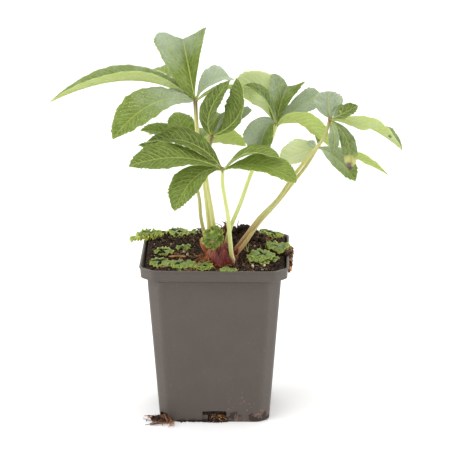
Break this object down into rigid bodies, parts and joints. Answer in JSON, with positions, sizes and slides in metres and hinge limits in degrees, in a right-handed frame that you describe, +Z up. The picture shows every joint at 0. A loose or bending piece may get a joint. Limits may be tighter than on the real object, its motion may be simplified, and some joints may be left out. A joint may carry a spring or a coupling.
{
  "type": "potted hellebore plant",
  "caption": "Young hellebore with pedate, toothed leaves on long stalks, in a square thin-walled nursery pot with liverwort on its peat.",
  "frame": {"origin": "centre of the pot's flat underside", "axes": "+Z up, -Y out of the side of the plant that the picture shows, +X to the right as seen from there"},
  "size_m": [0.2115, 0.095, 0.2361],
  "materials": {
    "pot": "satin, lightly scuffed and dusty",
    "peat": "rough, crumbly peat compost",
    "crown": "fleshy and satin, dark crimson",
    "stem": "smooth and satin, yellow-green",
    "leaf": "leathery, satin, mid-green with a pale underside",
    "liverwort": "moist and satin, fresh green",
    "bark": "dry and fibrous, orange-brown",
    "root": "dry and fibrous, brown"
  },
  "bodies": {
    "root": {"pot": "pot", "soil": "peat", "crown": "crown", "stem_1": "stem", "stem_2": "stem", "stem_3": "stem", "stem_4": "stem", "stem_5": "stem", "stem_6": "stem", "stem_7": "stem", "leaf_1": "leaf", "leaf_2": "leaf", "leaf_3": "leaf", "leaf_4": "leaf", "leaf_5": "leaf", "leaf_6": "leaf", "leaf_7": "leaf", "liverwort_back_left": "liverwort", "liverwort_back": "liverwort", "liverwort_back_middle": "liverwort", "liverwort_left": "liverwort", "liverwort_left_middle": "liverwort", "liverwort_front_left": "liverwort", "liverwort_front": "liverwort", "liverwort_front_middle": "liverwort", "liverwort_front_right": "liverwort", "liverwort_right": "liverwort", "liverwort_right_rim": "liverwort", "liverwort_back_right": "liverwort", "liverwort_crown": "liverwort", "bark_chip": "bark", "root_tuft": "root"}
  },
  "joints": []
}
